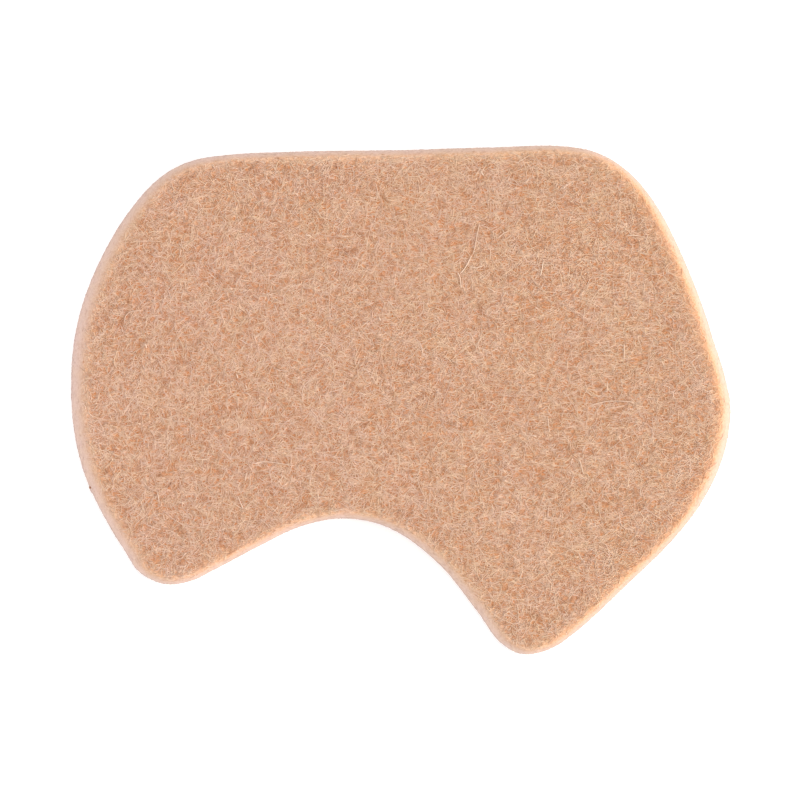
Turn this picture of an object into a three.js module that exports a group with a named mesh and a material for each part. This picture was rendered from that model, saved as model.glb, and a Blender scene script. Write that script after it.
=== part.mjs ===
// A metatarsal pad of die-cut pressed felt, in millimetres with +Z up.
// It lies flat. X runs along its length, Y across it, and the origin is in the middle of its underside.
import * as THREE from 'three';

// Driving dimensions
const padLength = 84; // along X, at the foot of the cut wall
const padWidth = 64.8; // along Y, at the foot of the cut wall
const padThickness = 5;
const endFlare = 1.25; // how far the cut wall leans out where it faces along X
const sideFlare = 0.4; // how far it leans out where it faces along Y
const shoulderRun = 0.6; // soft rounding of the top edge, along the face
const shoulderDrop = 0.8; // the same rounding, down the wall
const lipRun = 0.12; // small rounding of the bottom edge, along the face
const lipRise = 0.25; // the same rounding, up the wall

// Fineness of the mesh
const outlineSteps = 192;
const shoulderSteps = 5;
const curveDivisions = 3000;

const felt = new THREE.MeshStandardMaterial({ color: 0xd7a88e, roughness: 0.95, metalness: 0 });

// The outline at the foot of the wall, anticlockwise seen from above. A smooth closed curve runs through these
// points. x is a share of the length and y a share of the width, from the middle of the pad.
const outlineTable = [
  { at: 'left side', x: -0.497, y: -0.037 },
  { at: 'left flank high', x: -0.477, y: -0.153 },
  { at: 'left flank', x: -0.4375, y: -0.256 },
  { at: 'left flank low', x: -0.417, y: -0.298 },
  { at: 'left lobe outside', x: -0.397, y: -0.337 },
  { at: 'left lobe tip', x: -0.357, y: -0.362 },
  { at: 'left lobe inside', x: -0.316, y: -0.355 },
  { at: 'inner flank low', x: -0.283, y: -0.334 },
  { at: 'inner flank high', x: -0.21, y: -0.284 },
  { at: 'cut-out left', x: -0.153, y: -0.249 },
  { at: 'cut-out crown', x: -0.0875, y: -0.2325 },
  { at: 'cut-out right', x: -0.017, y: -0.2515 },
  { at: 'cut-out flank high', x: 0.056, y: -0.32 },
  { at: 'cut-out flank low', x: 0.118, y: -0.419 },
  { at: 'right lobe inside', x: 0.149, y: -0.474 },
  { at: 'right lobe tip', x: 0.183, y: -0.499 },
  { at: 'right lobe outside', x: 0.225, y: -0.49 },
  { at: 'lower flank low', x: 0.267, y: -0.454 },
  { at: 'lower flank high', x: 0.346, y: -0.359 },
  { at: 'lower right', x: 0.412, y: -0.275 },
  { at: 'right side low', x: 0.455, y: -0.203 },
  { at: 'right side', x: 0.488, y: -0.113 },
  { at: 'right side middle', x: 0.5, y: -0.02 },
  { at: 'right side high', x: 0.491, y: 0.049 },
  { at: 'right flank low', x: 0.4745, y: 0.115 },
  { at: 'right flank high', x: 0.459, y: 0.18 },
  { at: 'right shoulder low', x: 0.425, y: 0.289 },
  { at: 'right shoulder', x: 0.386, y: 0.386 },
  { at: 'right shoulder high', x: 0.345, y: 0.449 },
  { at: 'top right outside', x: 0.299, y: 0.486 },
  { at: 'top right', x: 0.242, y: 0.5 },
  { at: 'top middle right', x: 0.136, y: 0.497 },
  { at: 'top middle', x: 0, y: 0.492 },
  { at: 'top middle left', x: -0.152, y: 0.489 },
  { at: 'top left', x: -0.265, y: 0.482 },
  { at: 'left shoulder high', x: -0.322, y: 0.468 },
  { at: 'left shoulder', x: -0.367, y: 0.435 },
  { at: 'left shoulder low', x: -0.423, y: 0.35 },
  { at: 'left side high', x: -0.472, y: 0.226 },
  { at: 'left side middle', x: -0.495, y: 0.115 },
];

// The cut wall between the two roundings. rise is a share of its height and lean a share of the flare.
const wallTable = [
  { at: 'foot', rise: 0, lean: 0 },
  { at: 'lower wall', rise: 0.25, lean: 0.36 },
  { at: 'middle wall', rise: 0.5, lean: 0.65 },
  { at: 'upper wall', rise: 0.75, lean: 0.86 },
  { at: 'under the shoulder', rise: 1, lean: 1 },
];

// Points of the outline, evenly spaced and brought to the exact length and width, each with its outward normal.
function makeOutline() {
  const through = outlineTable.map(({ x, y }) => new THREE.Vector3(x * padLength, y * padWidth, 0));
  const curve = new THREE.CatmullRomCurve3(through, true, 'centripetal');
  curve.arcLengthDivisions = curveDivisions;
  const points = curve.getSpacedPoints(outlineSteps).slice(0, outlineSteps);
  const box = new THREE.Box3().setFromPoints(points);
  const middle = box.getCenter(new THREE.Vector3());
  const size = box.getSize(new THREE.Vector3());
  const fit = new THREE.Vector3(padLength / size.x, padWidth / size.y, 1);
  for (const point of points) {
    point.sub(middle).multiply(fit);
  }
  return points.map((point, i) => {
    const before = points[(i + outlineSteps - 1) % outlineSteps];
    const after = points[(i + 1) % outlineSteps];
    const tangent = after.clone().sub(before).normalize();
    return { x: point.x, y: point.y, nx: tangent.y, ny: -tangent.x };
  });
}

// Rings of the wall from the underside up to the face. round is the inset of a rounded edge in millimetres and
// lean the share of the flare.
function makeRings() {
  const wallHeight = padThickness - lipRise - shoulderDrop;
  const rings = [{ z: 0, round: lipRun, lean: 0 }];
  for (const { rise, lean } of wallTable) {
    rings.push({ z: lipRise + rise * wallHeight, round: 0, lean });
  }
  for (let step = 1; step <= shoulderSteps; step += 1) {
    const turn = ((Math.PI / 2) * step) / shoulderSteps;
    rings.push({
      z: padThickness - shoulderDrop * (1 - Math.sin(turn)),
      round: shoulderRun * (1 - Math.cos(turn)),
      lean: 1,
    });
  }
  return rings;
}

// How far the wall leans out at a point of the outline, from the way that it faces there.
function flareAt(normalX) {
  return sideFlare + (endFlare - sideFlare) * Math.abs(normalX);
}

// The closed pad: rings joined by a wall, with a flat underside and a flat face.
function makePadGeometry() {
  const outline = makeOutline();
  const rings = makeRings();
  const positions = [];
  for (const { z, round, lean } of rings) {
    for (const { x, y, nx, ny } of outline) {
      const inset = round + lean * flareAt(nx);
      positions.push(x - nx * inset, y - ny * inset, z);
    }
  }

  const index = [];
  for (let ring = 0; ring < rings.length - 1; ring += 1) {
    for (let i = 0; i < outlineSteps; i += 1) {
      const next = (i + 1) % outlineSteps;
      const low = ring * outlineSteps;
      const high = low + outlineSteps;
      index.push(low + i, low + next, high + next);
      index.push(low + i, high + next, high + i);
    }
  }

  const top = (rings.length - 1) * outlineSteps;
  for (const [a, b, c] of triangulateRing(positions, top)) {
    index.push(top + a, top + b, top + c);
  }
  for (const [a, b, c] of triangulateRing(positions, 0)) {
    index.push(a, c, b);
  }

  const geometry = new THREE.BufferGeometry();
  geometry.setAttribute('position', new THREE.Float32BufferAttribute(positions, 3));
  geometry.setIndex(index);
  geometry.computeVertexNormals();
  return geometry;
}

// Triangles that fill one ring, whose points start at a place in the list of positions.
function triangulateRing(positions, start) {
  const contour = [];
  for (let i = start; i < start + outlineSteps; i += 1) {
    contour.push(new THREE.Vector2(positions[3 * i], positions[3 * i + 1]));
  }
  return THREE.ShapeUtils.triangulateShape(contour, []);
}

const feltPad = new THREE.Mesh(makePadGeometry(), felt);
feltPad.name = 'felt_pad';

const metatarsalPad = new THREE.Group();
metatarsalPad.add(feltPad);

export default metatarsalPad;
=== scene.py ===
"""A metatarsal pad of thick pressed felt, lying on a pale floor and seen straight from above."""

import math

import bpy
import numpy as np
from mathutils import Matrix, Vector
from mathutils.geometry import delaunay_2d_cdt


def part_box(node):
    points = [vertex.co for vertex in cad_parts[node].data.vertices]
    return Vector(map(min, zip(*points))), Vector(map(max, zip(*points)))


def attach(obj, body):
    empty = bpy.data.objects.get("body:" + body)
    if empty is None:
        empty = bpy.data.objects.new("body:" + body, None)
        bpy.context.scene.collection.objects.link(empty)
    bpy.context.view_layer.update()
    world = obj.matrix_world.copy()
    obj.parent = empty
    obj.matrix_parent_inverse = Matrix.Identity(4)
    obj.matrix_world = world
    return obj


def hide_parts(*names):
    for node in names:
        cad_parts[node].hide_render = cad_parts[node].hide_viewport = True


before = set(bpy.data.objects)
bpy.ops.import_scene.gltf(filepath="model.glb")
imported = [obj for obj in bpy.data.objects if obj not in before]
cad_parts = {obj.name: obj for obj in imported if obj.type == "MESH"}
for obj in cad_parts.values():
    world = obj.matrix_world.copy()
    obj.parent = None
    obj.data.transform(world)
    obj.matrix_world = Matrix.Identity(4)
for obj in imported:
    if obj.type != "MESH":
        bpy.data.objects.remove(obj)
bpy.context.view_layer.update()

MM = 0.001  # the scene is in metres, and the sizes below are in millimetres times MM

# The photograph is a square, and the pad's outline in it has this middle and length, in pixels.
PHOTO_SIDE_PX = 800
PAD_MIDDLE_PX = (400.75, 399.8)
PAD_LENGTH_PX = 659.1

# The pad, as the CAD solid has it
PAD_LOW, PAD_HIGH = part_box("felt_pad")
PAD_LENGTH = PAD_HIGH.x - PAD_LOW.x
PAD_TOP = PAD_HIGH.z
PIXEL = PAD_LENGTH / PAD_LENGTH_PX

# The round cut edge. Its reach is how far in from the outline it is round: so far where it faces along Y,
# and so much farther where it faces along X, to the left, along +Y, and slantwise (up left and down right).
SIDE_REACH = 0.93 * MM
END_MORE = 0.92 * MM
END_POWER = 4  # the share of END_MORE that an edge has is this power of its outward X
LEFT_MORE = 0.35 * MM
TOP_MORE = 0.06 * MM
SLANT_MORE = 0.17 * MM
EDGE_SQUARENESS = 2.2
LIP_RUN = 0.12 * MM  # the small rounding of the bottom edge, along the underside
LIP_RISE = 0.25 * MM  # the same rounding, up the wall
RIM_INSET = 0.025 * MM  # the felt's rim is this little inside the CAD outline, as its fibres stand out again

# Where the cut edge passes into the face. These are shares of the reach, and runs past it.
CUT_FULL = 0.16
CUT_GONE = 0.93
SHOULDER_FULL = 0.8
SHOULDER_RUN = 1.15 * MM
SHOULDER_RUN_RIGHT = 0.4 * MM  # this much more where the edge faces right, and less where it faces left
RELIEF_FROM = -0.6 * MM
RELIEF_FULL = 1.0 * MM
RIGHT_FROM = 0.1  # an edge counts as facing right from this outward X on
RIGHT_FULL = 0.95

# Fineness of the body's mesh
OUTLINE_STEP = 0.32 * MM
OUTLINE_COPIES = 12  # steps of the smooth curve between two corners of the CAD outline
FACE_STEP = 0.44 * MM
FACE_CLEARANCE = 0.5  # the face's first points keep this share of a step from the round edge
UNDERSIDE_STEP = 2.2 * MM
ROW_STEP = math.sqrt(0.75)  # distance of staggered rows, as a share of the step along them
POINT_SHIFT = 0.18  # points are this share of a step out of line
FACE_POINT_SEED = 31
UNDERSIDE_POINT_SEED = 32
EDGE_ROWS = 16
SAME_LEVEL = 0.01 * MM  # corners of the CAD pad within this height of each other are one ring
CORNER_DIGITS = 7  # corners that agree to so many digits of a metre are one corner
SAME_POINT = 1e-6  # points that lie closer than this, in millimetres, are one point
TINY = 1e-12  # keeps a fibre of no length from a division by zero
NEAREST_BATCH = 4000  # points whose nearest outline points are found at one time

# Relief of the pressed face and of the cut edge: the width of the swells and dents, and their height
NOISE_CELLS = 256  # the noise repeats after so many cells
FACE_RELIEF = (
    {"cell": 11 * MM, "height": 0.07 * MM, "seed": 11},
    {"cell": 2.7 * MM, "height": 0.015 * MM, "seed": 12},
    {"cell": 0.6 * MM, "height": 0.03 * MM, "seed": 13},
)
EDGE_RELIEF = (
    {"cell": 6 * MM, "height": 0.02 * MM, "seed": 21},
    {"cell": 1.1 * MM, "height": 0.01 * MM, "seed": 22},
)
EDGE_LAYERING = 2  # the edge's swells are this many times longer than they are high
BED_DEPTH = 0.08 * MM  # the body lies this much lower under the mat of fibres

# Noise for the face's pits, which have fewer fibres and painted shade, small pits among wider patches; and
# yellower and pinker patches
MOTTLE = (
    {"cell": 0.31 * MM, "height": 0.76, "seed": 41},
    {"cell": 0.6 * MM, "height": 0.16, "seed": 13},
    {"cell": 3 * MM, "height": 0.07, "seed": 43},
)
HUE_PATCHES = (
    {"cell": 0.8 * MM, "height": 0.25, "seed": 51},
    {"cell": 3.5 * MM, "height": 0.15, "seed": 52},
)
MIDDLE_HUE = 0.5

# The mat of fibres on the face. A fibre has its two ends and some rings between them.
FACE_FIBRES = (
    {"name": "face_fibres_1", "count": 16000, "length": 1.75 * MM, "spread": 0.35,
     "radius": 0.058 * MM, "rings": 2, "seed": 101},
    {"name": "face_fibres_short_1", "count": 32000, "length": 1.5 * MM, "spread": 0.3,
     "radius": 0.058 * MM, "rings": 1, "seed": 103},
    {"name": "face_fibres_2", "count": 16000, "length": 1.75 * MM, "spread": 0.35,
     "radius": 0.058 * MM, "rings": 2, "seed": 102},
    {"name": "face_fibres_short_2", "count": 32000, "length": 1.5 * MM, "spread": 0.3,
     "radius": 0.058 * MM, "rings": 1, "seed": 104},
    {"name": "face_fibres_long", "count": 2800, "length": 3.4 * MM, "spread": 0.3,
     "radius": 0.055 * MM, "rings": 5, "seed": 106},
)
MAT_TRIES = 3  # places tried for each fibre of the mat
MAT_FROM = 0.5  # the mat starts at this share of the edge's reach, and is full at the next
MAT_FULL = 1.15
MAT_OVER_PITS = 0.55  # its density over the pits
PIT_MOTTLE = -0.4  # the mottle's value in the pits, and beside them
PLAIN_MOTTLE = -0.1
MAT_CLEARANCE = 0.3  # no fibre of the mat comes nearer to the outline than this share of the reach
LENGTHWISE = 0.14  # how much the fibres turn to the pad's length, and how much more towards the right
LENGTHWISE_RIGHT = 0.18
LENGTHWISE_SPAN = 0.3  # from so far left of the middle to so far right, as shares of the length
MAT_BEND = 0.5  # how much the fibres bend over a millimetre, and how much they wave
MAT_WAVE = 0.35
MAT_LOW = -0.02 * MM  # height of the lowest fibres over the felt, and how much higher the highest are
MAT_DEPTH = 0.12 * MM
MAT_BURY = 0.07 * MM  # depth of their ends
BURY_POWER = 3  # how suddenly a fibre's ends dive into the felt
THICKNESS_SPREAD = 0.25

# Fibres of the cut edge, which are laid out over a quarter turn from its foot to the face
EDGE_FIBRE_COUNT = 11000
EDGE_FIBRE_LENGTH = 1.5 * MM
EDGE_FIBRE_RADIUS = 0.04 * MM
EDGE_FIBRE_RINGS = 1
EDGE_FIBRE_SEED = 107
EDGE_SINE_LOW = 0.08  # the sines of the turns between which their middles are laid
EDGE_SINE_HIGH = 0.98
EDGE_LOWEST_TURN = 0.03  # no point of them is at a smaller turn
EDGE_TILT = 0.4  # how far they lean from level, in radians
EDGE_LENGTH_SPREAD = 0.35
EDGE_BEND = 0.35
EDGE_WAVE = 0.3
EDGE_RIDE_LOW = -0.04 * MM  # heights of their middles over the felt, and depth of their ends
EDGE_RIDE_HIGH = 0.015 * MM
EDGE_BURY = 0.1 * MM

# Tones from 0, dark, to 1, light, and hues from 0, yellower, to 1, pinker
MAT_TONE = 0.55
MAT_SHADE_BY_RANK = 0.23  # the lowest fibres are painted this much darker than the highest, as shade deep in the mat
MAT_TONE_SPREAD = 0.06
PIT_FROM = 0.12  # the fibres are painted darker where the mottle is below this, as shade in the pits of the mat, by so much, at this power
PIT_SHADE = 0.56
PIT_POWER = 1.5
SHOULDER_TONE = 0.08
EDGE_TONE = 0.5
EDGE_TONE_SPREAD = 0.2
HUE_SPREAD = 0.25
STRAY_HUE = 0.6
TUFT_TONE = 0.5
UNDERSIDE_CUT = 0.5  # the underside's colour is halfway between the face's and the cut edge's

# The bake map: a face at its own scale, the edge in strips, and a cell with a margin for each fibre
FACE_MAP = {"left": 0.01, "bottom": 0.01, "scale": 0.8}
UNDERSIDE_MAP = {"left": 0.01, "bottom": 0.65, "scale": 0.42}
STRIP_COUNT = 6
STRIP_LEFT = 0.47
STRIP_BOTTOM = 0.655
STRIP_WIDTH = 0.5
STRIP_PITCH = 0.056
STRIP_HEIGHT = 0.05
CELL_MARGIN = 0.2


def srgb(red, green, blue):
    """A colour given as 0 to 255 on a screen, as the linear colour that Blender uses."""
    def linear(value):
        share = value / 255
        return share / 12.92 if share <= 0.04045 else ((share + 0.055) / 1.055) ** 2.4
    return (linear(red), linear(green), linear(blue), 1.0)


# Longer fibres that lie loose on the face, through places in the photograph's pixels. Radius in millimetres.
STRAY_FIBRES_PX = (
    {"path": ((480, 222), (477, 234), (475, 247), (472, 257)), "radius": 0.065, "tone": 0.85},
    {"path": ((472, 255), (468, 263), (464, 270), (459, 275)), "radius": 0.075, "tone": 1.0},
    {"path": ((457, 272), (460, 278), (461, 289)), "radius": 0.08, "tone": 0.95},
    {"path": ((469, 267), (476, 268.5), (484, 266)), "radius": 0.08, "tone": 0.9},
    {"path": ((497, 239), (503, 234), (509, 231)), "radius": 0.065, "tone": 0.9},
    {"path": ((543, 261), (541.5, 269), (540, 277)), "radius": 0.075, "tone": 1.0},
    {"path": ((487, 288), (491, 290), (495, 293)), "radius": 0.065, "tone": 0.9},
    {"path": ((626, 236), (634, 236), (641, 237)), "radius": 0.07, "tone": 0.95},
    {"path": ((587, 406), (606, 401), (624, 401), (636, 403)), "radius": 0.08, "tone": 0.85},
    {"path": ((623, 343), (623.5, 352), (623, 360)), "radius": 0.07, "tone": 0.9},
    {"path": ((578, 458), (581, 466), (583, 475)), "radius": 0.07, "tone": 0.9},
    {"path": ((547, 415), (548, 424), (549, 433)), "radius": 0.065, "tone": 0.9},
    {"path": ((167, 513), (176, 520), (187, 526), (207, 527), (213, 530)), "radius": 0.06, "tone": 0.8},
    {"path": ((238, 495), (241, 502), (244, 509)), "radius": 0.07, "tone": 0.9},
    {"path": ((247, 472), (246.5, 476), (246, 481)), "radius": 0.07, "tone": 0.9},
    {"path": ((158.5, 493), (159.5, 496.5), (160, 501)), "radius": 0.07, "tone": 0.95},
    {"path": ((254, 463), (264, 461), (280, 463), (297, 466)), "radius": 0.07, "tone": 0.85},
    {"path": ((126, 325), (125.5, 318), (129, 313), (136, 311), (144, 311)), "radius": 0.065, "tone": 0.85},
    {"path": ((480.5, 172), (482, 174), (483, 176.5)), "radius": 0.09, "tone": 1.0},
    {"path": ((306, 235.5), (309, 236), (312, 237)), "radius": 0.09, "tone": 1.0},
    {"path": ((379, 317.5), (380, 319), (380.5, 321)), "radius": 0.09, "tone": 1.0},
    {"path": ((146, 344), (147, 346), (147.5, 348.5)), "radius": 0.09, "tone": 1.0},
    {"path": ((237, 374), (238, 376), (238.5, 378.5)), "radius": 0.085, "tone": 1.0},
    {"path": ((219.5, 380), (220, 382), (221, 384)), "radius": 0.08, "tone": 0.95},
    {"path": ((246, 385), (247, 387), (248, 389)), "radius": 0.08, "tone": 0.95},
    {"path": ((532.5, 435), (534, 436), (535.5, 437)), "radius": 0.085, "tone": 1.0},
)
STRAY_POINTS = 14
STRAY_RIDE = 0.17 * MM
STRAY_DIVE = 1.5  # the ends dive by this share of the ride, at this power
STRAY_DIVE_POWER = 5
PATH_SMOOTHINGS = 2

# The tuft that stands out of the left edge, and the chip of plant matter in it. Height in millimetres too.
TUFT_PX = (
    {"path": ((89.4, 485.6), (90.3, 488.4), (91.5, 490.8), (93.1, 493.4)), "radius": 0.1, "height": 1.3},
    {"path": ((89.9, 486.5), (90.9, 489.4), (92.8, 492.9)), "radius": 0.12, "height": 1.5},
    {"path": ((90.6, 486.8), (92.0, 489.8), (93.9, 493.2)), "radius": 0.12, "height": 1.7},
)
CHIP_PX = (
    {"path": ((90.0, 486.4), (90.7, 487.4), (91.2, 488.5)), "radius": 0.13, "height": 2.6},
    {"path": ((91.8, 486.8), (91.0, 487.4), (90.1, 488.1)), "radius": 0.12, "height": 2.7},
)
TUFT_POINTS = 8

# Darkest and lightest felt on the face and on the cut edge, and what they are multiplied by in some places,
# among them painted light and shade
FACE_DARK = srgb(177, 105, 44)
FACE_LIGHT = srgb(242, 217, 198)
EDGE_DARK = srgb(202, 169, 153)
EDGE_LIGHT = srgb(232, 204, 192)
UNCHANGED = (1, 1, 1, 1)
# the shoulder's faint tint, and where it faces right a painted warm glow of the light from the right
PLAIN_SHOULDER = (0.985, 0.975, 0.94, 1)
RIGHT_SHOULDER_GLOW = (1.1, 1.0, 0.885, 1)
# where the cut edge faces right it is painted paler, as its highlight
RIGHT_EDGE_HIGHLIGHT = (1.0, 1.04, 1.06, 1)
YELLOWER = (1.0, 0.996, 0.925, 1)
PINKER = (1.0, 1.004, 1.075, 1)
TAN = (0.97, 0.98, 0.95, 1)
TAN_FROM_X = -36.0  # in millimetres
TAN_FULL_X = 36.0
# painted shade along the foot of the edge: full up to FOOT_TO_Z, gone by FOOT_GONE_Z
FOOT_SHADE = (0.94, 0.955, 1.0, 1)
FOOT_TO_Z = 1.6  # in millimetres
FOOT_GONE_Z = 3.0
CHIP_BROWN = srgb(172, 122, 92)

# The felt's surface, and the fine grain of the body under the loose fibres
ROUGHNESS = 0.92
GLOSS = 0.1
GRAIN = {"Scale": 4.5, "Detail": 3.0, "Roughness": 0.6}
GRAIN_LOW = 0.35
GRAIN_HIGH = 0.65
# the body's face is painted dark, as shade in the gaps among the fibres; its grain makes it lighter in
# places, and so does the shoulder
BED_SHADE_TONE = 0.06
BED_TONE_BY_GRAIN = 0.32
BED_TONE_BY_SHOULDER = 0.28
BUMP_STRENGTH = 0.4
BUMP_HEIGHT = 0.05 * MM

# Studio, in metres and watts
FLOOR_SIDE = 4.0
FLOOR_GREY = (0.8, 0.8, 0.8, 1)
FLOOR_ROUGHNESS = 0.9
FLOOR_GLOW = 0.32
WORLD_STRENGTH = 0.75
LIGHTS = (
    {"name": "key_right", "place": (0.78, -0.06, 0.4), "size": 0.5, "power": 6.6,
     "colour": (1.0, 0.875, 0.715)},
    {"name": "overhead", "place": (0.1, 0.45, 1.5), "size": 1.0, "power": 5.9,
     "colour": (1.0, 1.0, 1.0)},
    {"name": "fill_left", "place": (-0.6, -0.53, 0.6), "size": 0.6, "power": 2.4,
     "colour": (0.97, 0.98, 1.0)},
)
CAMERA_HEIGHT = 1.3
CAMERA_SENSOR_MM = 36.0
CAMERA_CLIP = 0.01


def smooth_share(values, low, high):
    """0 below low, 1 above high, and a smooth step between them."""
    share = np.clip((values - low) / (high - low), 0, 1)
    return share * share * (3 - 2 * share)


def lattice_noise(x, y, cell, seed):
    """Smooth random heights from -1 to 1 over a plane, with one random value for each cell."""
    size = NOISE_CELLS
    lattice = np.random.default_rng(seed).uniform(-1, 1, (size, size))
    column, row = x / cell, y / cell
    i, j = np.floor(column).astype(int), np.floor(row).astype(int)
    a, b = column - i, row - j
    a, b = a * a * (3 - 2 * a), b * b * (3 - 2 * b)
    low = lattice[i % size, j % size] * (1 - a) + lattice[(i + 1) % size, j % size] * a
    high = lattice[i % size, (j + 1) % size] * (1 - a) + lattice[(i + 1) % size, (j + 1) % size] * a
    return low * (1 - b) + high * b


def noise_sum(x, y, layers):
    """The values of several layers of noise, added up."""
    return sum(layer["height"] * lattice_noise(x, y, layer["cell"], layer["seed"]) for layer in layers)


# The outline

def cad_foot_ring():
    """The widest ring of the CAD pad's corners, in order anticlockwise."""
    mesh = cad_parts["felt_pad"].data
    corners = np.empty(len(mesh.vertices) * 3)
    mesh.vertices.foreach_get("co", corners)
    corners = np.unique(corners.reshape(-1, 3).round(CORNER_DIGITS), axis=0)
    widest_z = corners[corners[:, 0].argmax(), 2]
    ring = corners[np.abs(corners[:, 2] - widest_z) < SAME_LEVEL, :2]
    return ring[np.arctan2(ring[:, 1], ring[:, 0]).argsort()]


def smooth_closed(points, copies):
    """A closed Catmull-Rom curve through the points, with so many steps from each to the next."""
    before, after = np.roll(points, 1, 0), np.roll(points, -1, 0)
    later = np.roll(points, -2, 0)
    rows = []
    for t in np.arange(copies) / copies:
        rows.append(
            points
            + 0.5 * t * (after - before)
            + 0.5 * t**2 * (2 * before - 5 * points + 4 * after - later)
            + 0.5 * t**3 * (3 * (points - after) + later - before)
        )
    return np.stack(rows, 1).reshape(-1, 2)


def travel_along(points):
    """How far along a line of points each of them is."""
    return np.concatenate([[0], np.cumsum(np.linalg.norm(np.diff(points, axis=0), axis=1))])


def even_outline(step):
    """Evenly spaced points of the felt's outline, and the outward normal at each."""
    fine = smooth_closed(cad_foot_ring(), OUTLINE_COPIES)
    closed = np.vstack([fine, fine[:1]])
    travel = travel_along(closed)
    places = np.linspace(0, travel[-1], round(travel[-1] / step), endpoint=False)
    points = np.column_stack([np.interp(places, travel, closed[:, k]) for k in (0, 1)])
    tangent = np.roll(points, -2, 0) - np.roll(points, 2, 0)
    tangent /= np.linalg.norm(tangent, axis=1)[:, None]
    normals = np.column_stack([tangent[:, 1], -tangent[:, 0]])
    return points - RIM_INSET * normals, normals


OUTLINE, OUTWARD = even_outline(OUTLINE_STEP)
REACH = SIDE_REACH + END_MORE * np.abs(OUTWARD[:, 0]) ** END_POWER - SLANT_MORE * OUTWARD.prod(1)
REACH += TOP_MORE * OUTWARD[:, 1] - LEFT_MORE * OUTWARD[:, 0]
OUTLINE_LENGTH = len(OUTLINE) * OUTLINE_STEP


def inset_of(points):
    """How far each point lies inside the outline, and the reach and outward X of the edge beside it."""
    insets, reaches, sides = [], [], []
    for part in np.array_split(points, max(1, len(points) // NEAREST_BATCH)):
        gap = part[:, None, :] - OUTLINE[None, :, :]
        near = (gap**2).sum(2).argmin(1)
        insets.append(-(gap[np.arange(len(part)), near] * OUTWARD[near]).sum(1))
        reaches.append(REACH[near])
        sides.append(OUTWARD[near, 0])
    return np.concatenate(insets), np.concatenate(reaches), np.concatenate(sides)


# The surface that the body has and the fibres lie on

def edge_rise(share):
    """Height of the round edge as a share of its height, from how far in it is as a share of its reach."""
    out = np.clip(1 - share, 0, 1)
    return (1 - out**EDGE_SQUARENESS) ** (1 / EDGE_SQUARENESS)


def face_relief(x, y, past_reach):
    """The pressed relief of the face, which fades out towards the round edge."""
    calm = smooth_share(past_reach, RELIEF_FROM, RELIEF_FULL)
    return calm * (noise_sum(x, y, FACE_RELIEF) - BED_DEPTH)


def face_height(points, inset, reach):
    """Height of the surface at each point: the round edge, and the pressed relief of the face."""
    height = LIP_RISE + (PAD_TOP - LIP_RISE) * edge_rise(inset / reach)
    return height + face_relief(points[:, 0], points[:, 1], inset - reach)


def cut_share(inset, reach):
    """1 on the cut edge, 0 on the face, and a soft change between them."""
    return 1 - smooth_share(inset / reach, CUT_FULL, CUT_GONE)


def shoulder_share(inset, reach, side):
    """1 on the round edge, where the felt is smoother and lighter and has a painted warm glow where it faces
    right, and 0 a little way in on the face.
    """
    return 1 - smooth_share(inset, SHOULDER_FULL * reach, reach + SHOULDER_RUN + SHOULDER_RUN_RIGHT * side)


def right_share(side):
    """1 beside an edge that faces right, towards the warm light, where the felt has its painted highlight and
    warm glow, and 0 beside one that faces left.
    """
    return smooth_share(side, RIGHT_FROM, RIGHT_FULL)


def mottle(points):
    """Noise over the pressed face, from about -1 to 1: where it is low, the face has pits with fewer fibres
    and painted shade.
    """
    return noise_sum(points[:, 0], points[:, 1], MOTTLE)


def hue_patches(points):
    """Yellower and pinker patches of the felt, from 0 to 1."""
    return MIDDLE_HUE + noise_sum(points[:, 0], points[:, 1], HUE_PATCHES)


def edge_point(place, share):
    """Points of the round edge and the way they face, at shares of the way round and of the reach."""
    index = place * len(OUTLINE)
    low = np.floor(index).astype(int)
    part = (index - low)[:, None]
    low, high = low % len(OUTLINE), (low + 1) % len(OUTLINE)
    foot = OUTLINE[low] * (1 - part) + OUTLINE[high] * part
    outward = OUTWARD[low] * (1 - part) + OUTWARD[high] * part
    reach = REACH[low] * (1 - part[:, 0]) + REACH[high] * part[:, 0]
    rise = edge_rise(share)
    height = LIP_RISE + (PAD_TOP - LIP_RISE) * rise
    swell = noise_sum(place * OUTLINE_LENGTH, EDGE_LAYERING * height, EDGE_RELIEF) * (1 - share)
    spot = foot - outward * (reach * share - swell)[:, None]
    lean = (1 - share) ** (EDGE_SQUARENESS - 1) / reach
    top = rise ** (EDGE_SQUARENESS - 1) / (PAD_TOP - LIP_RISE)
    facing = np.column_stack([outward * lean[:, None], top])
    return np.column_stack([spot, height]), facing / np.linalg.norm(facing, axis=1)[:, None]


def edge_share_at(turn):
    """How far in the edge is, as a share of its reach, at a turn from 0, its foot, to a quarter, the face."""
    return 1 - np.cos(turn) ** (2 / EDGE_SQUARENESS)


# Meshes

def make_piece(name, corners, triangles, uv, material, attributes):
    """A smooth mesh that rides on the pad, from arrays. uv holds one place for each triangle's corner."""
    mesh = bpy.data.meshes.new(name)
    mesh.from_pydata(corners.tolist(), [], triangles.tolist())
    layer = mesh.uv_layers.new(name="OFBake")
    layer.data.foreach_set("uv", np.asarray(uv, np.float32).ravel())
    for key, values in attributes.items():
        channel = mesh.attributes.new(key, "FLOAT", "POINT")
        channel.data.foreach_set("value", np.asarray(values, np.float32))
    mesh.shade_smooth()
    mesh.materials.append(material)
    piece = bpy.data.objects.new(name, mesh)
    bpy.context.scene.collection.objects.link(piece)
    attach(piece, "root")
    return piece


def fill_ring(ring, inner):
    """Triangles that fill an anticlockwise ring through the points inside it, as indices into both lists."""
    points = [Vector(point) for point in (np.vstack([ring, inner]) / MM).tolist()]
    edges = [(i, (i + 1) % len(ring)) for i in range(len(ring))]
    _, _, faces, origins, _, _ = delaunay_2d_cdt(points, edges, [], 0, SAME_POINT, True)
    faces = np.array([[origins[corner][0] for corner in face] for face in faces])
    # a triangle outside the ring has all its corners on the ring, and they run the other way round
    on_ring = (faces < len(ring)).all(1)
    same_way = (np.roll(faces, -1, 1) > faces).sum(1) == 2
    return faces[~on_ring | same_way]


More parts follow.
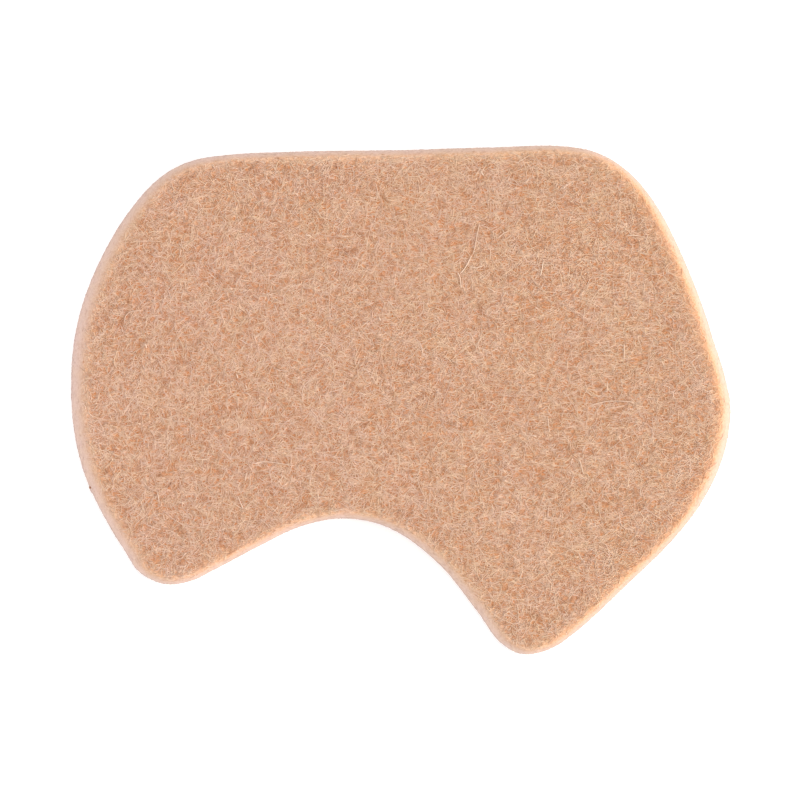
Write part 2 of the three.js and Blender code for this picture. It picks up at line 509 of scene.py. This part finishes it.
def points_inside(step, clear, seed):
    """Points in staggered rows over the face, a little out of line, and clear of the round edge."""
    columns = np.arange(PAD_LOW.x, PAD_HIGH.x, step)
    rows = np.arange(PAD_LOW.y, PAD_HIGH.y, step * ROW_STEP)
    x, y = np.meshgrid(columns, rows)
    x[1::2] += step / 2
    points = np.column_stack([x.ravel(), y.ravel()])
    points += np.random.default_rng(seed).uniform(-POINT_SHIFT, POINT_SHIFT, points.shape) * step
    inset, reach, _ = inset_of(points)
    return points[inset > reach + clear]


def edge_rows():
    """Rows of the body's edge, from the underside up, and how far in each is as a share of the reach."""
    around = np.arange(len(OUTLINE)) / len(OUTLINE)
    shares = [0.0]
    rows = [np.column_stack([OUTLINE - OUTWARD * LIP_RUN, np.zeros(len(OUTLINE))])]
    for turn in np.linspace(0, math.pi / 2, EDGE_ROWS):
        share = edge_share_at(turn)
        row = edge_point(around, np.full(len(around), share))[0]
        row[:, 2] += face_relief(row[:, 0], row[:, 1], (share - 1) * REACH)
        rows.append(row)
        shares.append(share)
    return rows, shares


def edge_triangles(row_count):
    """The triangles between the rows of the edge, with each corner's row and its step round the outline."""
    count = len(OUTLINE)
    row, step = np.meshgrid(np.arange(row_count - 1), np.arange(count), indexing="ij")
    row, step = row.ravel(), step.ravel()
    rows = np.column_stack([row, row, row + 1, row, row + 1, row + 1]).reshape(-1, 3)
    steps = np.column_stack([step, step + 1, step + 1, step, step + 1, step]).reshape(-1, 3)
    return rows * count + steps % count, rows, steps


def edge_uv(rows, steps, row_count):
    """The edge's places on the bake map: strips, one above the other."""
    per_strip = math.ceil(len(OUTLINE) / STRIP_COUNT)
    strip = steps.min(1, keepdims=True) // per_strip
    u = STRIP_LEFT + STRIP_WIDTH * (steps - strip * per_strip) / per_strip
    v = STRIP_BOTTOM + STRIP_PITCH * strip + STRIP_HEIGHT * rows / (row_count - 1)
    return np.stack([u, v], 2)


def flat_uv(points, left, bottom, scale):
    """A flat face's places on the bake map."""
    return np.column_stack([
        left + scale * (points[:, 0] - PAD_LOW.x) / PAD_LENGTH,
        bottom + scale * (points[:, 1] - PAD_LOW.y) / PAD_LENGTH,
    ])


def make_body(material):
    """The pad's closed body: its round edge, its face with the pressed relief, and its flat underside."""
    rows, shares = edge_rows()
    count = len(OUTLINE)
    edge = np.vstack(rows)
    edge_faces, face_rows, face_steps = edge_triangles(len(rows))

    inner = points_inside(FACE_STEP, FACE_CLEARANCE * FACE_STEP, FACE_POINT_SEED)
    inset, reach, side = inset_of(inner)
    inner_height = face_height(inner, inset, reach)
    face = fill_ring(rows[-1][:, :2], inner)
    face_index = np.concatenate([np.arange(count) + len(edge) - count, np.arange(len(inner)) + len(edge)])

    under = points_inside(UNDERSIDE_STEP, 0, UNDERSIDE_POINT_SEED)
    underside = fill_ring(rows[0][:, :2], under)[:, ::-1]
    under_index = np.concatenate([np.arange(count), np.arange(len(under)) + len(edge) + len(inner)])

    corners = np.vstack([
        edge,
        np.column_stack([inner, inner_height]),
        np.column_stack([under, np.zeros(len(under))]),
    ])
    triangles = np.vstack([edge_faces, face_index[face], under_index[underside]])
    uv = np.vstack([
        edge_uv(face_rows, face_steps, len(rows)).reshape(-1, 2),
        flat_uv(corners, **FACE_MAP)[face_index[face]].reshape(-1, 2),
        flat_uv(corners, **UNDERSIDE_MAP)[under_index[underside]].reshape(-1, 2),
    ])
    edge_cut = [cut_share(share * REACH, REACH) for share in shares]
    edge_shoulder = [shoulder_share(share * REACH, REACH, OUTWARD[:, 0]) for share in shares]
    zeros = np.zeros(len(under))
    sides = np.concatenate([np.tile(OUTWARD[:, 0], len(rows)), side, zeros])
    attributes = {
        "cut": np.concatenate([*edge_cut, cut_share(inset, reach), zeros + UNDERSIDE_CUT]),
        "shoulder": np.concatenate([*edge_shoulder, shoulder_share(inset, reach, side), zeros]),
        "right": right_share(sides),
        "hue": hue_patches(corners),
    }
    body = make_piece("felt_body", corners, triangles, uv, material, attributes)
    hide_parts("felt_pad")


# Fibres

def curved_paths(rng, middle, heading, length, rings, bend, wave):
    """Plane paths of curved fibres: for each fibre, its two ends and the rings between them."""
    along = np.linspace(-0.5, 0.5, rings + 2)[None, :]
    turn = rng.normal(0, bend, (len(middle), 1)) * length[:, None] / MM
    sway = rng.normal(0, wave, (len(middle), 1))
    phase = rng.uniform(0, 2 * math.pi, (len(middle), 1))
    angle = heading[:, None] + turn * along + sway * np.sin(2 * math.pi * along + phase)
    step = length[:, None] / (rings + 1)
    x = np.cumsum(np.cos(angle) * step, axis=1)
    y = np.cumsum(np.sin(angle) * step, axis=1)
    path = np.stack([x, y], 2)
    return path - path.mean(1, keepdims=True) + middle[:, None, :]


def fibre_mesh(paths, upward, radius):
    """Closed three-sided spindles along the paths: corners, triangles, and one fibre's own triangles."""
    fibres, points, _ = paths.shape
    rings = points - 2
    tangent = paths[:, 2:] - paths[:, :-2]
    tangent /= np.linalg.norm(tangent, axis=2, keepdims=True) + TINY
    side = np.cross(tangent, upward[:, 1:-1])
    side /= np.linalg.norm(side, axis=2, keepdims=True) + TINY
    up = np.cross(side, tangent)
    corners = np.empty((fibres, 3 * rings + 2, 3))
    corners[:, 0] = paths[:, 0]
    corners[:, -1] = paths[:, -1]
    for k, turn in enumerate(math.radians(90 + 120 * n) for n in range(3)):
        offset = math.cos(turn) * side + math.sin(turn) * up
        corners[:, 1 + k:-1:3] = paths[:, 1:-1] + radius[:, None, None] * offset
    local = []
    for k in range(3):
        other = (k + 1) % 3
        local.append([0, 1 + other, 1 + k])
        local.append([3 * rings + 1, 3 * rings - 2 + k, 3 * rings - 2 + other])
        for ring in range(rings - 1):
            low = 1 + 3 * ring
            local.append([low + k, low + other, low + 3 + other])
            local.append([low + k, low + 3 + other, low + 3 + k])
    local = np.array(local)
    triangles = local[None] + (np.arange(fibres) * (3 * rings + 2))[:, None, None]
    return corners.reshape(-1, 3), triangles.reshape(-1, 3), local


def fibre_uv(fibres, rings, local):
    """One small cell of the bake map for each fibre."""
    side = math.ceil(math.sqrt(fibres))
    cell = np.column_stack([np.arange(fibres) % side, np.arange(fibres) // side])
    place = np.empty((3 * rings + 2, 2))
    place[0] = (0, 0.5)
    place[-1] = (1, 0.5)
    for k in range(3):
        place[1 + k:-1:3, 0] = np.arange(1, rings + 1) / (rings + 1)
        place[1 + k:-1:3, 1] = k / 2
    inside = CELL_MARGIN + (1 - 2 * CELL_MARGIN) * place[local]
    return ((cell[:, None, None, :] + inside[None]) / side).reshape(-1, 2)


def make_fibres(name, paths, upward, radius, shares, material):
    """One piece of many fibres. The shares have a value from 0 to 1 for each point of a path."""
    rings = paths.shape[1] - 2
    corners, triangles, local = fibre_mesh(paths, upward, radius)
    uv = fibre_uv(len(paths), rings, local)
    repeats = [1] + [3] * rings + [1]
    spread = {}
    for key, values in shares.items():
        spread[key] = np.repeat(np.clip(values, 0, 1), repeats, axis=1).ravel()
    make_piece(name, corners, triangles, uv, material, spread)


def straight_up(paths):
    """The way up, for each point of the paths."""
    upward = np.zeros_like(paths)
    upward[:, :, 2] = 1
    return upward


def arched(ride, bury, rings):
    """Heights along fibres that ride over the felt in their middle and are buried at both ends."""
    along = np.linspace(-1, 1, rings + 2)[None, :]
    return -bury + (ride[:, None] + bury) * (1 - np.abs(along) ** BURY_POWER)


def mat_paths(rng, count, length, spread, rings):
    """Plane paths of the mat's fibres, fewer over the pits, and inset_of their points."""
    box_low = np.array([PAD_LOW.x, PAD_LOW.y])
    box_high = np.array([PAD_HIGH.x, PAD_HIGH.y])
    middle = rng.uniform(box_low, box_high, (MAT_TRIES * count, 2))
    inset, reach, _ = inset_of(middle)
    mat = smooth_share(inset / reach, MAT_FROM, MAT_FULL)
    mat *= MAT_OVER_PITS + (1 - MAT_OVER_PITS) * smooth_share(mottle(middle), PIT_MOTTLE, PLAIN_MOTTLE)
    keep = (rng.uniform(0, 1, len(middle)) < mat) & (inset > 0)
    middle = middle[keep]

    lie = rng.uniform(-math.pi / 2, math.pi / 2, len(middle))
    right = smooth_share(middle[:, 0], -LENGTHWISE_SPAN * PAD_LENGTH, LENGTHWISE_SPAN * PAD_LENGTH)
    heading = lie - (LENGTHWISE + LENGTHWISE_RIGHT * right) * np.sin(2 * lie)
    lengths = length * np.exp(rng.normal(0, spread, len(middle)))
    path = curved_paths(rng, middle, heading, lengths, rings, MAT_BEND, MAT_WAVE)
    inset, reach, side = (values.reshape(len(path), -1) for values in inset_of(path.reshape(-1, 2)))
    inside = (inset > MAT_CLEARANCE * reach).all(1)
    return [values[inside][:count] for values in (path, inset, reach, side)]


def face_fibres(name, count, length, spread, radius, rings, seed, material):
    """Fibres pressed into the face. Their ends dive into it, and lower ones, and those over the pits, are
    painted darker as shade in the mat.
    """
    rng = np.random.default_rng(seed)
    path, inset, reach, side = mat_paths(rng, count, length, spread, rings)
    fibres = len(path)
    flat = path.reshape(-1, 2)
    height = face_height(flat, inset.ravel(), reach.ravel()).reshape(fibres, -1)
    rank = rng.uniform(0, 1, fibres)
    height += arched(MAT_LOW + MAT_DEPTH * rank, MAT_BURY, rings)
    paths = np.concatenate([path, height[:, :, None]], 2)

    thick = radius * rng.uniform(1 - THICKNESS_SPREAD, 1 + THICKNESS_SPREAD, fibres)
    # painted shade: the lower a fibre lies, the darker its tone, around its own random tone
    tone_and_rank_shade = MAT_TONE + MAT_SHADE_BY_RANK * rank + rng.normal(0, MAT_TONE_SPREAD, fibres)
    # painted shade in the pits: the lower the mottle, the darker the fibres
    depth = np.maximum(PIT_FROM - mottle(flat), 0).reshape(fibres, -1)
    shoulder = shoulder_share(inset, reach, side)
    shares = {
        "tone": tone_and_rank_shade[:, None] - PIT_SHADE * depth**PIT_POWER + SHOULDER_TONE * shoulder,
        "cut": cut_share(inset, reach),
        "shoulder": shoulder,
        "right": right_share(side),
        "hue": hue_patches(flat).reshape(fibres, -1) + rng.normal(0, HUE_SPREAD, (fibres, 1)),
    }
    make_fibres(name, paths, straight_up(paths), thick, shares, material)


def edge_fibres(material):
    """Fibres in the cut edge, which lie mostly level, as the layers of pressed felt do."""
    rng = np.random.default_rng(EDGE_FIBRE_SEED)
    count, rings = EDGE_FIBRE_COUNT, EDGE_FIBRE_RINGS
    turn = np.arcsin(rng.uniform(EDGE_SINE_LOW, EDGE_SINE_HIGH, count))
    middle = np.column_stack([rng.uniform(0, OUTLINE_LENGTH, count), turn])
    heading = rng.normal(0, EDGE_TILT, count)
    lengths = EDGE_FIBRE_LENGTH * np.exp(rng.normal(0, EDGE_LENGTH_SPREAD, count))
    path = curved_paths(rng, middle * (1, PAD_TOP), heading, lengths, rings, EDGE_BEND, EDGE_WAVE)
    place = (path[:, :, 0] / OUTLINE_LENGTH).ravel() % 1
    turns = np.clip(path[:, :, 1] / PAD_TOP, EDGE_LOWEST_TURN, math.pi / 2).ravel()
    share = edge_share_at(turns)
    spot, facing = edge_point(place, share)
    side = OUTWARD[(place * len(OUTLINE)).astype(int) % len(OUTLINE), 0].reshape(count, -1)
    lift = arched(rng.uniform(EDGE_RIDE_LOW, EDGE_RIDE_HIGH, count), EDGE_BURY, rings)
    paths = (spot + facing * lift.reshape(-1, 1)).reshape(count, -1, 3)
    thick = EDGE_FIBRE_RADIUS * rng.uniform(1 - THICKNESS_SPREAD, 1 + THICKNESS_SPREAD, count)
    even = np.ones((count, rings + 2))
    shares = {
        "tone": EDGE_TONE + rng.normal(0, EDGE_TONE_SPREAD, (count, 1)) * even,
        "cut": cut_share(share, 1).reshape(count, -1),
        "shoulder": even,
        "right": right_share(side),
        "hue": MIDDLE_HUE + rng.normal(0, HUE_SPREAD, (count, 1)) * even,
    }
    make_fibres("edge_fibres", paths, facing.reshape(count, -1, 3), thick, shares, material)


def drawn_paths(parts, count):
    """Smooth paths of evenly spaced points through places given in the photograph's pixels."""
    paths = []
    for part in parts:
        points = (np.array(part["path"], float) - PAD_MIDDLE_PX) * (PIXEL, -PIXEL)
        travel = travel_along(points)
        steps = np.linspace(0, travel[-1], count)
        path = np.column_stack([np.interp(steps, travel, points[:, k]) for k in (0, 1)])
        for _ in range(PATH_SMOOTHINGS):
            path[1:-1] = (path[:-2] + 2 * path[1:-1] + path[2:]) / 4
        paths.append(path)
    return np.stack(paths)


def column_of(parts, key):
    """One value of each part, as a column."""
    return np.array([[part[key]] for part in parts])


def stray_fibres(material):
    """The longer, lighter fibres that lie loose on the face, with both ends tucked in."""
    path = drawn_paths(STRAY_FIBRES_PX, STRAY_POINTS)
    inset, reach, _ = inset_of(path.reshape(-1, 2))
    height = face_height(path.reshape(-1, 2), inset, reach).reshape(len(path), STRAY_POINTS)
    along = np.linspace(-1, 1, STRAY_POINTS)[None, :]
    height += STRAY_RIDE * (1 - STRAY_DIVE * np.abs(along) ** STRAY_DIVE_POWER)
    paths = np.concatenate([path, height[:, :, None]], 2)
    radius = column_of(STRAY_FIBRES_PX, "radius")[:, 0] * MM
    even = np.ones((len(path), STRAY_POINTS))
    shares = {"tone": column_of(STRAY_FIBRES_PX, "tone") * even, "hue": STRAY_HUE * even}
    make_fibres("stray_fibres", paths, straight_up(paths), radius, shares, material)


def level_fibres(name, parts, material):
    """Short level fibres at given heights over the underside."""
    path = drawn_paths(parts, TUFT_POINTS)
    even = np.ones((len(parts), TUFT_POINTS))
    height = column_of(parts, "height") * MM * even
    paths = np.concatenate([path, height[:, :, None]], 2)
    radius = column_of(parts, "radius")[:, 0] * MM
    shares = {"tone": TUFT_TONE * even, "cut": even, "hue": MIDDLE_HUE * even}
    make_fibres(name, paths, straight_up(paths), radius, shares, material)


# Materials

def new_material(name):
    """A rough material with its node tree and its shader."""
    material = bpy.data.materials.new(name)
    material.use_nodes = True
    tree = material.node_tree
    shader = tree.nodes["Principled BSDF"]
    shader.inputs["Roughness"].default_value = ROUGHNESS
    shader.inputs["Specular IOR Level"].default_value = GLOSS
    return material, tree, shader


def set_inputs(tree, node, values):
    """Sets a node's inputs to values, or links other nodes' outputs to them."""
    for key, value in values.items():
        if isinstance(value, bpy.types.NodeSocket):
            tree.links.new(value, node.inputs[key])
        else:
            node.inputs[key].default_value = value


def add_node(tree, kind, values=None, **settings):
    """A node of a kind, with its settings and its inputs."""
    node = tree.nodes.new(kind)
    for key, value in settings.items():
        setattr(node, key, value)
    set_inputs(tree, node, values or {})
    return node


def mix_colours(tree, share, first, second, blend="MIX"):
    """The output of a node that mixes two colours."""
    node = add_node(tree, "ShaderNodeMix", data_type="RGBA", blend_type=blend)
    # for colours, this node's inputs are numbers 6 and 7, and its output is number 2
    set_inputs(tree, node, {0: share, 6: first, 7: second})
    return node.outputs[2]


def times(tree, first, second):
    """Two colours multiplied."""
    return mix_colours(tree, 1.0, first, second, "MULTIPLY")


def millimetre_places(tree):
    """Places on the pad in millimetres."""
    coordinates = add_node(tree, "ShaderNodeTexCoord")
    scale = {"Vector": coordinates.outputs["Object"], "Scale": (1 / MM, 1 / MM, 1 / MM)}
    return add_node(tree, "ShaderNodeMapping", scale).outputs[0]


def ramp(tree, value, low, high):
    """0 where the value is low, 1 where it is high, and straight between."""
    inputs = {"Value": value, "From Min": low, "From Max": high}
    return add_node(tree, "ShaderNodeMapRange", inputs).outputs[0]


def scaled_sum(tree, value, factor, addend):
    """A value times a factor, plus an addend."""
    inputs = {0: value, 1: factor, 2: addend}
    return add_node(tree, "ShaderNodeMath", inputs, operation="MULTIPLY_ADD").outputs[0]


def attribute(tree, name):
    """The value of one of the mesh's own attributes."""
    return add_node(tree, "ShaderNodeAttribute", attribute_name=name).outputs["Fac"]


def felt_colour(tree, tone):
    """Felt's colour from its tone: paler on the cut edge, with a painted highlight where it faces right; a
    painted warm glow on the shoulder where it faces right; yellower and pinker patches; more tan to the
    right; and painted shade at the foot.
    """
    place = add_node(tree, "ShaderNodeSeparateXYZ", {"Vector": millimetre_places(tree)})
    # the shoulder's faint tint, with a painted warm glow where it faces right
    shoulder_tint_and_glow = mix_colours(tree, attribute(tree, "right"), PLAIN_SHOULDER, RIGHT_SHOULDER_GLOW)
    shoulder_tint_and_glow = mix_colours(tree, attribute(tree, "shoulder"), UNCHANGED, shoulder_tint_and_glow)
    face = times(tree, mix_colours(tree, tone, FACE_DARK, FACE_LIGHT), shoulder_tint_and_glow)
    # painted highlight on the cut edge where it faces right
    paler = mix_colours(tree, attribute(tree, "right"), UNCHANGED, RIGHT_EDGE_HIGHLIGHT)
    edge = times(tree, mix_colours(tree, tone, EDGE_DARK, EDGE_LIGHT), paler)
    colour = mix_colours(tree, attribute(tree, "cut"), face, edge)
    colour = times(tree, colour, mix_colours(tree, attribute(tree, "hue"), YELLOWER, PINKER))
    tan = mix_colours(tree, ramp(tree, place.outputs[0], TAN_FROM_X, TAN_FULL_X), UNCHANGED, TAN)
    # painted shade along the foot of the edge, fading out going up
    foot = mix_colours(tree, ramp(tree, place.outputs[2], FOOT_TO_Z, FOOT_GONE_Z), FOOT_SHADE, UNCHANGED)
    return times(tree, times(tree, colour, tan), foot)


def body_material():
    """The felt under the loose fibres, painted dark on the face as shade in the gaps among them, with fine
    grain and low bumps.
    """
    material, tree, shader = new_material("pressed_felt")
    grain = add_node(tree, "ShaderNodeTexNoise", {"Vector": millimetre_places(tree), **GRAIN}).outputs["Fac"]
    # painted shade: the body's face is dark under the mat, lighter with its grain and on the shoulder
    tone = scaled_sum(tree, ramp(tree, grain, GRAIN_LOW, GRAIN_HIGH), BED_TONE_BY_GRAIN, BED_SHADE_TONE)
    tone = scaled_sum(tree, attribute(tree, "shoulder"), BED_TONE_BY_SHOULDER, tone)
    tree.links.new(felt_colour(tree, tone), shader.inputs["Base Color"])
    bump = {"Height": grain, "Strength": BUMP_STRENGTH, "Distance": BUMP_HEIGHT}
    tree.links.new(add_node(tree, "ShaderNodeBump", bump).outputs[0], shader.inputs["Normal"])
    return material


def fibre_material():
    """Wool fibres, from dark to light by their tone."""
    material, tree, shader = new_material("felt_fibre")
    tree.links.new(felt_colour(tree, attribute(tree, "tone")), shader.inputs["Base Color"])
    return material


def chip_material():
    """Dark brown plant matter."""
    material, _, shader = new_material("plant_matter")
    shader.inputs["Base Color"].default_value = CHIP_BROWN
    return material


# Floor, lights and camera

def make_floor():
    """A plain pale floor that the pad lies on."""
    bpy.ops.mesh.primitive_plane_add(size=FLOOR_SIDE, location=(0, 0, 0))
    floor = bpy.context.object
    floor.name = "floor"
    material = bpy.data.materials.new("pale_floor")
    material.use_nodes = True
    shader = material.node_tree.nodes["Principled BSDF"]
    shader.inputs["Base Color"].default_value = FLOOR_GREY
    shader.inputs["Roughness"].default_value = FLOOR_ROUGHNESS
    shader.inputs["Emission Color"].default_value = (1, 1, 1, 1)
    shader.inputs["Emission Strength"].default_value = FLOOR_GLOW
    floor.data.materials.append(material)


def make_light(name, place, size, power, colour):
    """A square soft light that looks at the pad."""
    data = bpy.data.lights.new(name, "AREA")
    data.size = size
    data.energy = power
    data.color = colour
    light = bpy.data.objects.new(name, data)
    light.location = place
    light.rotation_mode = "QUATERNION"
    light.rotation_quaternion = Vector(place).to_track_quat("Z", "Y")
    bpy.context.scene.collection.objects.link(light)


def make_world(strength):
    """Even white light from all round."""
    world = bpy.data.worlds.new("studio")
    world.use_nodes = True
    background = world.node_tree.nodes["Background"]
    background.inputs["Color"].default_value = (1, 1, 1, 1)
    background.inputs["Strength"].default_value = strength
    bpy.context.scene.world = world


def make_camera():
    """Straight above the pad through a long lens, framed as the photograph is."""
    data = bpy.data.cameras.new("camera")
    data.sensor_width = CAMERA_SENSOR_MM
    data.lens = data.sensor_width * CAMERA_HEIGHT / (PHOTO_SIDE_PX * PIXEL)
    data.clip_start = CAMERA_CLIP
    camera = bpy.data.objects.new("camera", data)
    middle = PHOTO_SIDE_PX / 2
    x = (middle - PAD_MIDDLE_PX[0]) * PIXEL
    y = (PAD_MIDDLE_PX[1] - middle) * PIXEL
    camera.location = (x, y, CAMERA_HEIGHT)
    bpy.context.scene.collection.objects.link(camera)
    bpy.context.scene.camera = camera


make_camera()
make_world(WORLD_STRENGTH)
for light_values in LIGHTS:
    make_light(**light_values)
make_floor()
bpy.context.scene.view_settings.view_transform = "Standard"
bpy.context.scene.cycles.denoising_prefilter = "NONE"

felt = body_material()
fibre = fibre_material()
make_body(felt)
for fibre_values in FACE_FIBRES:
    face_fibres(**fibre_values, material=fibre)
edge_fibres(fibre)
stray_fibres(fibre)
level_fibres("edge_tuft", TUFT_PX, fibre)
level_fibres("plant_fleck", CHIP_PX, chip_material())
